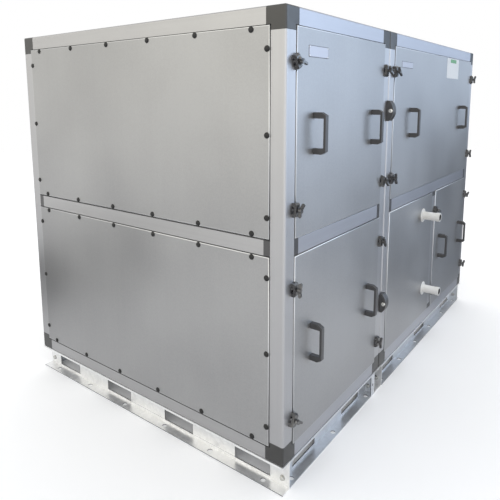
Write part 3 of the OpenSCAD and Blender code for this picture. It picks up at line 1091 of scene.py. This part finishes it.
@dataclass
class Sheet:
    """The outer face of one panel in its frame opening."""

    facing: Facing
    low: Vector
    high: Vector

    def spot(self, first: float, second: float, out: float = 0.0) -> Vector:
        """Gives a point on the face.

        Args:
            first: Place on the first axis in the face.
            second: Place on the second axis in the face.
            out: Distance in front of the face.

        Returns:
            The point.
        """
        side, plane = self.facing.depth, self.facing.plane
        ahead = self.facing.value[side]
        point = Vector((0.0, 0.0, 0.0))
        point[plane[0]], point[plane[1]] = first, second
        point[side] = (self.high if ahead > 0 else self.low)[side] + ahead * out
        return point

    def border(self, inset: float, out: float) -> list[Vector]:
        """Gives the corners of a loop along the opening's edge.

        Args:
            inset: Distance inside the opening's edge.
            out: Distance in front of the face.

        Returns:
            Four corners in order.
        """
        a, b = self.facing.plane
        left, right = self.low[a] + inset, self.high[a] - inset
        down, up = self.low[b] + inset, self.high[b] - inset
        return [self.spot(*pair, out) for pair in ((left, down), (right, down), (right, up), (left, up))]

    def shadow_sill(self, drop: float, out: float) -> list[Vector]:
        """Gives the two ends of a line under the face, where a dark cord paints the shadow below the panel.

        Args:
            drop: Distance below the face's lower edge.
            out: Distance in front of the face.

        Returns:
            The two ends.
        """
        a, b = self.facing.plane
        return [self.spot(end, self.low[b] - drop, out) for end in (self.low[a], self.high[a])]

    def painted_shadow_rim(self, inset: float, margin: float, pitch: float) -> Iterator[Vector]:
        """Gives fastener places along the four edges.

        Args:
            inset: Distance inside the opening's edge.
            margin: Distance of the first and last place from the corner.
            pitch: Wished distance between places.

        Yields:
            Each place on the face.
        """
        a, b = self.facing.plane
        for run, cross in ((a, b), (b, a)):
            start, end = self.low[run] + margin, self.high[run] - margin
            count = max(1, round((end - start) / pitch))
            for step in range(count + 1):
                along = start + (end - start) * step / count
                for side in (self.low[cross] + inset, self.high[cross] - inset):
                    yield self.spot(along, side) if run == a else self.spot(side, along)


@dataclass
class Casing:
    """Frame profiles, corner pieces and panels, with their screws and seals, and dark cords that paint the
    shadow below the screwed side panels.
    """

    profile_edge: float = 0.001
    profile_shortest: float = 0.02
    corner_edge: float = 0.0007
    connector_edge: float = 0.0012
    cord_width: float = 0.0026
    seal_inset: float = 0.001
    seal_sunk: float = 0.0072
    shadow_sill_drop: float = 0.0018
    shadow_sill_sunk: float = 0.0032
    screw_width: float = 0.0185
    screw_height: float = 0.0045
    screw_inset: float = 0.0105
    screw_margin: float = 0.065
    screw_pitch: float = 0.22

    def sheets(self) -> Iterator[tuple[Sheet, bool]]:
        """Gives each outer panel face.

        Yields:
            The face, and whether visible screws hold it.
        """
        sides = {"left_end": Facing.LEFT, "right_end": Facing.RIGHT, "back": Facing.BACK,
                 "access": Facing.ACCESS, "pipe": Facing.ACCESS}
        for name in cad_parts:
            side = next((f for start, f in sides.items() if name.startswith(f"{start}_panel")), None)
            if side is not None:
                yield Sheet(side, *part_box(name)), side is not Facing.ACCESS
        low_end, high_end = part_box("left_end_panel_upper")
        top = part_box("roof_panels")[1].z
        for section in (1, 2):
            low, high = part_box(f"back_panel_upper_{section}")
            yield Sheet(Facing.ROOF, Vector((low.x, low_end.y, top)), Vector((high.x, high_end.y, top))), True

    def build(self) -> Iterator[Piece]:
        """Makes the casing's added pieces and dresses its nodes.

        Yields:
            Each piece.
        """
        for section in (1, 2):
            # Each run takes its axis's drawn lines and its tint of painted light or shade.
            for run, axis in (("posts", Axis.Z), ("side_rails", Axis.X), ("cross_rails", Axis.Y)):
                yield dressed(f"{run}_{section}", PROFILES[axis])
            yield ProfileCopy(f"mid_rails_{section}", PROFILES[Axis.X], "frame_aluminium",
                              self.profile_edge, self.profile_shortest).build()
            yield SoftCopy(f"corner_pieces_{section}", CORNER_PLASTIC, "corner_plastic",
                           self.corner_edge).build()
            yield ConnectorCopy(f"mid_connectors_{section}", BLACK_PLASTIC, "black_plastic",
                                self.connector_edge).build()
        yield SoftCopy("mullion", PROFILES[Axis.Z], "frame_aluminium",
                       self.profile_edge, self.profile_shortest).build()
        for name in (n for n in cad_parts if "panel" in n):
            yield PanelCopy(name, SHEET, "panel_sheet").build()
        screws = Repeats("panel_screws", TreeKind.DOME, SCREW_BLACK, "black_plastic",
                         self.screw_width, self.screw_height)
        seals = Repeats("panel_seals_and_shadow_sills", TreeKind.CORD, SEAL_AND_SHADOW_RUBBER, "black_plastic", self.cord_width)
        for sheet, held in self.sheets():
            seals.paths.append(sheet.border(self.seal_inset, -self.seal_sunk))
            if held:
                spots = sheet.painted_shadow_rim(self.screw_inset, self.screw_margin, self.screw_pitch)
                screws.spots += [(s, sheet.facing.normal) for s in spots]
            # A dark cord under the lower edge of each screwed side panel paints the shadow in the gap there.
            if held and sheet.facing is not Facing.ROOF:
                seals.paths.append(sheet.shadow_sill(self.shadow_sill_drop, -self.shadow_sill_sunk))
        yield screws.build()
        yield seals.build()


@dataclass
class Base:
    """Folded channel base with its joining bolts."""

    edge: float = 0.0007
    shortest: float = 0.02
    web_depth: float = 0.037
    joint_depth: float = 0.006
    bolt_from_side: float = 0.025
    bolt_height: float = 0.029

    def build(self) -> Iterator[Piece]:
        """Makes the base's added pieces and its softened rails.

        Yields:
            Each piece.
        """
        for section in (1, 2):
            for run in ("end", "side"):
                name = f"base_{run}_rails_{section}"
                # Side rails take the shaded copy of the sheet and end rails take the lit copy.
                yield RailCopy(name, BASE_SHEETS_LIT_AND_SHADED[run], "galvanised_base", self.edge, self.shortest).build()
        bolts = Repeats("base_bolts", TreeKind.HEX, BOLT_STEEL, "galvanised_base",
                        width=0.013, height=0.0065, washer=0.019)
        for section in (1, 2):
            low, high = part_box(f"base_end_rails_{section}")
            for x, out in ((low.x + self.web_depth, -1.0), (high.x - self.web_depth, 1.0)):
                for y in (low.y + self.bolt_from_side, high.y - self.bolt_from_side):
                    for through, way in ((0.0, out), (self.joint_depth, -out)):
                        spot = Vector((x - out * through, y, self.bolt_height))
                        bolts.spots.append((spot, Vector((way, 0.0, 0.0))))
        yield bolts.build()


@dataclass
class Fittings:
    """Handles, clamps, joining lugs and pipe stubs, with their small fasteners."""

    handle_edge: float = 0.0011
    clamp_edge: float = 0.0014
    wing_edge: float = 0.001
    lug_edge: float = 0.002
    pipe_edge: float = 0.0009
    rosette_edge: float = 0.0022
    clamp_drop: float = 0.099
    clamp_rise: float = 0.089
    clamp_middle: float = 0.004
    lug_half: float = 0.0165
    lug_bolt_out: float = 0.0176
    lug_bolt_inset: float = 0.0385

    def build(self) -> Iterator[Piece]:
        """Makes the fittings' softened copies and fasteners.

        Yields:
            Each piece.
        """
        for section in (1, 2):
            for kind, finish, edge in (("handles_upper", BLACK_PLASTIC, self.handle_edge),
                                       ("handles_lower", BLACK_PLASTIC, self.handle_edge),
                                       ("clamp_bodies", CLAMP_BLACK, self.clamp_edge),
                                       ("clamp_wings", CLAMP_BLACK, self.wing_edge),
                                       ("section_lugs", BLACK_PLASTIC, self.lug_edge)):
                yield SoftCopy(f"{kind}_{section}", finish, "black_plastic", edge).build()
        yield PipeCopy("pipe_stubs", PIPE_WHITE, "pipe_white", self.pipe_edge).build()
        yield SoftCopy("pipe_rosettes", PIPE_WHITE, "pipe_white", self.rosette_edge).build()
        yield self.clamp_nuts()
        yield self.lug_bolts()

    def clamp_nuts(self) -> Piece:
        """Makes the bright nuts that hold the clamps' studs, in the gaps under the bars.

        Returns:
            The finished piece.
        """
        nuts = Repeats("clamp_nuts", TreeKind.HEX, STUD_STEEL, "galvanised_base",
                       width=0.01, height=0.0052, washer=0.014, seed=5)
        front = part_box("posts_1")[0].y
        for name in (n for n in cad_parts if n.startswith("access_panel")):
            low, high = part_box(name)
            for x in (low.x - self.clamp_middle, high.x + self.clamp_middle):
                for z in (low.z + self.clamp_rise, high.z - self.clamp_drop):
                    nuts.spots.append((Vector((x, front, z)), Facing.ACCESS.normal))
        return nuts.build()

    def lug_bolts(self) -> Piece:
        """Makes the bolt heads that draw the two sections together.

        Returns:
            The finished piece.
        """
        bolts = Repeats("lug_bolts", TreeKind.HEX, ZINC, "galvanised_base",
                        width=0.013, height=0.0055, washer=0.0155, seed=11)
        low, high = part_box("section_lugs_1")
        near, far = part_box("posts_1")
        for y in (near.y - self.lug_bolt_out, far.y + self.lug_bolt_out):
            for z in (low.z + self.lug_bolt_inset, high.z - self.lug_bolt_inset):
                for way in (-1.0, 1.0):
                    spot = Vector((far.x + way * self.lug_half, y, z))
                    bolts.spots.append((spot, Vector((way, 0.0, 0.0))))
        return bolts.build()


@dataclass
class Plates:
    """Bare plates, each on a dark rim that paints its edge shadow, and a plain label on the access panels."""

    name_plate: Area = ((-0.861, -0.746), (1.3225, 1.3557))
    small_plate: Area = ((-0.134, -0.010), (1.326, 1.351))
    label: Area = ((0.474, 0.675), (1.302, 1.400))
    band: Area = ((0.528, 0.626), (1.379, 1.396))
    thickness: float = 0.0009
    painted_shadow_rim: float = 0.0014
    rim_share: float = 0.7
    label_film: float = 0.0004
    band_film: float = 0.0003
    corner: float = 0.002
    corner_steps: int = 4
    edge_share: float = 0.4
    rivet_width: float = 0.0045
    rivet_height: float = 0.0012
    rivet_inset: float = 0.004

    def build(self) -> Iterator[Piece]:
        """Makes the plates, the label and the plate rivets.

        Yields:
            Each piece.
        """
        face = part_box("access_panel_upper_1")[0].y
        for name, area in (("name_plate", self.name_plate), ("small_plate", self.small_plate)):
            # Each plate lies on a slightly larger dark rim, a painted shadow along its edges.
            yield self.plate(f"{name}_rim", area, face, self.thickness * self.rim_share, PLATE_SHADOW_RIM)
            yield self.plate(f"{name}_bare", self.within(area, self.painted_shadow_rim), face, self.thickness, PLATE_FOIL)
        yield self.plate("label_plain", self.label, face, self.label_film, LABEL_WHITE)
        yield self.plate("label_band", self.band, face - self.label_film, self.band_film, LABEL_GREEN)
        rivets = Repeats("plate_rivets", TreeKind.DOME, ZINC, "galvanised_base",
                         self.rivet_width, self.rivet_height)
        across, up = self.within(self.name_plate, self.rivet_inset)
        for x in across:
            for z in up:
                rivets.spots.append((Vector((x, face - self.thickness, z)), Facing.ACCESS.normal))
        yield rivets.build()

    @staticmethod
    def within(area: Area, inset: float) -> Area:
        """Gives an area that is smaller by an inset on every side."""
        across, up = ((low + inset, high - inset) for low, high in area)
        return across, up

    def plate(self, name: str, area: Area, face: float, thickness: float, finish: Finish) -> Piece:
        """Makes one thin plate with round corners and a soft front edge.

        Args:
            name: The piece's name.
            area: Its left and right ends, and its lower and upper ends.
            face: The surface that it lies on.
            thickness: Its thickness.
            finish: Its finish.

        Returns:
            The finished piece.
        """
        (left, right), (low, high) = self.within(area, self.corner)
        work = bmesh.new()
        ring = []
        for quarter, (x, z) in enumerate(((right, high), (left, high), (left, low), (right, low))):
            for step in range(self.corner_steps + 1):
                turn = math.radians(90.0 * (quarter + step / self.corner_steps))
                ring.append((x + self.corner * math.cos(turn), z + self.corner * math.sin(turn)))
        back = [work.verts.new((x, face, z)) for x, z in ring]
        front = [work.verts.new((x, face - thickness, z)) for x, z in ring]
        work.faces.new(back)
        work.faces.new(front)
        for i in range(len(ring)):
            j = (i + 1) % len(ring)
            work.faces.new((back[i], back[j], front[j], front[i]))
        bmesh.ops.recalc_face_normals(work, faces=work.faces)
        edges = [e for e in work.edges if all(v.co.y < face - thickness / 2 for v in e.verts)]
        soft = thickness * self.edge_share
        bmesh.ops.bevel(work, geom=edges, offset=soft, segments=2, affect="EDGES", profile=0.5)
        mesh = bpy.data.meshes.new(name)
        work.to_mesh(mesh)
        work.free()
        coated(mesh, finish)
        return mounted(linked(name, mesh), "pipe_white" if finish is not PLATE_FOIL else "frame_aluminium")


@dataclass(frozen=True)
class Glow:
    """A soft patch of light or shade in the room."""

    azimuth: float
    elevation: float
    spread: float
    colour: Colour

    @property
    def way(self) -> Vector:
        """The direction of the patch's middle."""
        turn, rise = math.radians(self.azimuth), math.radians(self.elevation)
        return Vector((math.cos(rise) * math.cos(turn), math.cos(rise) * math.sin(turn), math.sin(rise)))

    def share(self, recipe: Recipe, way: Socket) -> Socket:
        """Gives how much of the patch shows in each direction.

        Args:
            recipe: The room's recipe.
            way: The direction looked in.

        Returns:
            The share, from 0 outside to 1 in the middle.
        """
        toward = recipe.measure("DOT_PRODUCT", way, self.way)
        feeds = {0: toward, 1: math.cos(math.radians(self.spread)), 2: 1.0, 3: 0.0, 4: 1.0}
        return recipe.first("ShaderNodeMapRange", feeds, interpolation_type="SMOOTHSTEP")


@dataclass
class Studio:
    """Floor, room light and camera."""

    floor_radius: float = 12.0
    floor_sides: int = 96
    cards: tuple[tuple[Point, Point], ...] = (
        ((0.7, -3.2, 0.004), (9.0, -0.76, 0.004)),
        ((2.2, -2.1, 0.3), (2.2, -0.85, 1.05)),
        ((-2.6, 1.3, 0.0), (-1.05, 1.3, 0.34)),
    )
    eye: Point = (-2.1382, -1.4055, 1.2058)
    look: Point = (0.7902, 0.5948, -0.1477)
    roll: float = -0.00244
    lens: float = 36.42
    sensor: float = 36.0
    farthest: float = 100.0
    shift: Span = (-0.001, -0.1524)
    backdrop: Colour = (1.0, 1.0, 1.0)
    horizon: Colour = (0.97, 0.97, 0.97)
    zenith: Colour = (1.28, 1.28, 1.28)
    brightens: Span = (0.05, 0.9)
    shades: tuple[Glow, ...] = (Glow(-82.0, 5.0, 64.0, (0.5, 0.6, 0.75)),)
    glows: tuple[Glow, ...] = (
        Glow(156.0, 25.0, 52.0, (2.05, 1.99, 1.79)),
        Glow(-48.0, 10.0, 34.0, (2.5, 3.0, 3.72)),
        Glow(228.0, 16.0, 48.0, (2.4, 2.4, 2.35)),
        Glow(-10.0, 9.0, 22.0, (0.1, 0.17, 0.27)),
    )

    def build(self) -> None:
        """Makes the floor, the room and the camera, and sets the plain view transform."""
        mesh = bpy.data.meshes.new("studio_floor")
        work = bmesh.new()
        bmesh.ops.create_circle(work, cap_ends=True, segments=self.floor_sides, radius=self.floor_radius)
        work.to_mesh(mesh)
        work.free()
        coated(mesh, FLOOR_PALE)
        linked("studio_floor", mesh)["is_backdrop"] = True
        for number, card in enumerate(self.cards, 1):
            self.shade_card(f"shade_card_{number}", *card)
        self.room()
        self.camera()
        bpy.context.scene.view_settings.view_transform = "Standard"

    def shade_card(self, name: str, low: Point, high: Point) -> None:
        """Sets a dark card beside the unit, flat or upright, which only reflections show.

        Args:
            name: The card's name.
            low: Its lowest corner.
            high: The corner across from it.
        """
        mesh = bpy.data.meshes.new(name)
        flat = low[2] == high[2]
        second, fourth = (low[1], high[1]) if flat else (high[1], low[1])
        spots = [low, (high[0], second, low[2]), high, (low[0], fourth, high[2])]
        mesh.from_pydata(spots, [], [(0, 1, 2, 3)])
        coated(mesh, CARD_GREY)
        card = linked(name, mesh)
        card.visible_camera = card.visible_diffuse = card.visible_shadow = False
        card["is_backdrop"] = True

    def room(self) -> None:
        """Makes the room: a soft dome with a few broad patches of light and shade."""
        world = bpy.data.worlds.new("soft_room")
        bpy.context.scene.world = world
        world.use_nodes = True
        world.node_tree.nodes.clear()
        recipe = Recipe(world.node_tree)
        way = recipe.add("ShaderNodeTexCoord").outputs["Generated"]
        height = recipe.add("ShaderNodeSeparateXYZ", {0: way}).outputs[2]
        plain = recipe.mixed(recipe.spread(height, 0.0, 1.0, *self.brightens), self.horizon, self.zenith)
        for shade in self.shades:
            plain = recipe.mixed(shade.share(recipe, way), plain, shade.colour)
        colour = recipe.first("ShaderNodeRGB")
        colour.default_value = (*self.backdrop, 1.0)
        for glow in self.glows:
            colour = recipe.mixed(glow.share(recipe, way), colour, glow.colour)
        straight = recipe.add("ShaderNodeLightPath").outputs["Is Camera Ray"]
        shown = recipe.mixed(recipe.seen(), plain, recipe.mixed(straight, colour, self.backdrop))
        back = recipe.first("ShaderNodeBackground", {"Color": shown, "Strength": 1.0})
        recipe.add("ShaderNodeOutputWorld", {"Surface": back})

    def camera(self) -> None:
        """Makes the camera at the photograph's place, with its framing."""
        lens = bpy.data.cameras.new("photo_view")
        lens.lens, lens.sensor_width, lens.sensor_fit = self.lens, self.sensor, "HORIZONTAL"
        lens.shift_x, lens.shift_y = self.shift
        lens.clip_end = self.farthest
        eye = bpy.data.objects.new("photo_view", lens)
        eye.location = self.eye
        turn = Vector(self.look).to_track_quat("-Z", "Y") @ Quaternion((0.0, 0.0, 1.0), self.roll)
        eye.rotation_euler = turn.to_euler()
        bpy.context.scene.collection.objects.link(eye)
        bpy.context.scene.camera = eye


def corners(box: tuple[Vector, Vector]) -> list[list[float]]:
    """Gives a box as plain lists."""
    return [list(box[0]), list(box[1])]


def main() -> None:
    """Builds the looks in order, reports each piece and works out the two boxes."""
    logging.basicConfig(level=logging.INFO, format="%(message)s")
    cad_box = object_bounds()
    Studio().build()
    for assembly in (Base(), Casing(), Fittings(), Plates()):
        for piece in assembly.build():
            LOG.info("%s: %s, %d faces", type(assembly).__name__, piece.name, len(piece.data.polygons))
    {"cad": corners(cad_box), "visual": corners(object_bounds())}


if __name__ == "__main__":
    main()
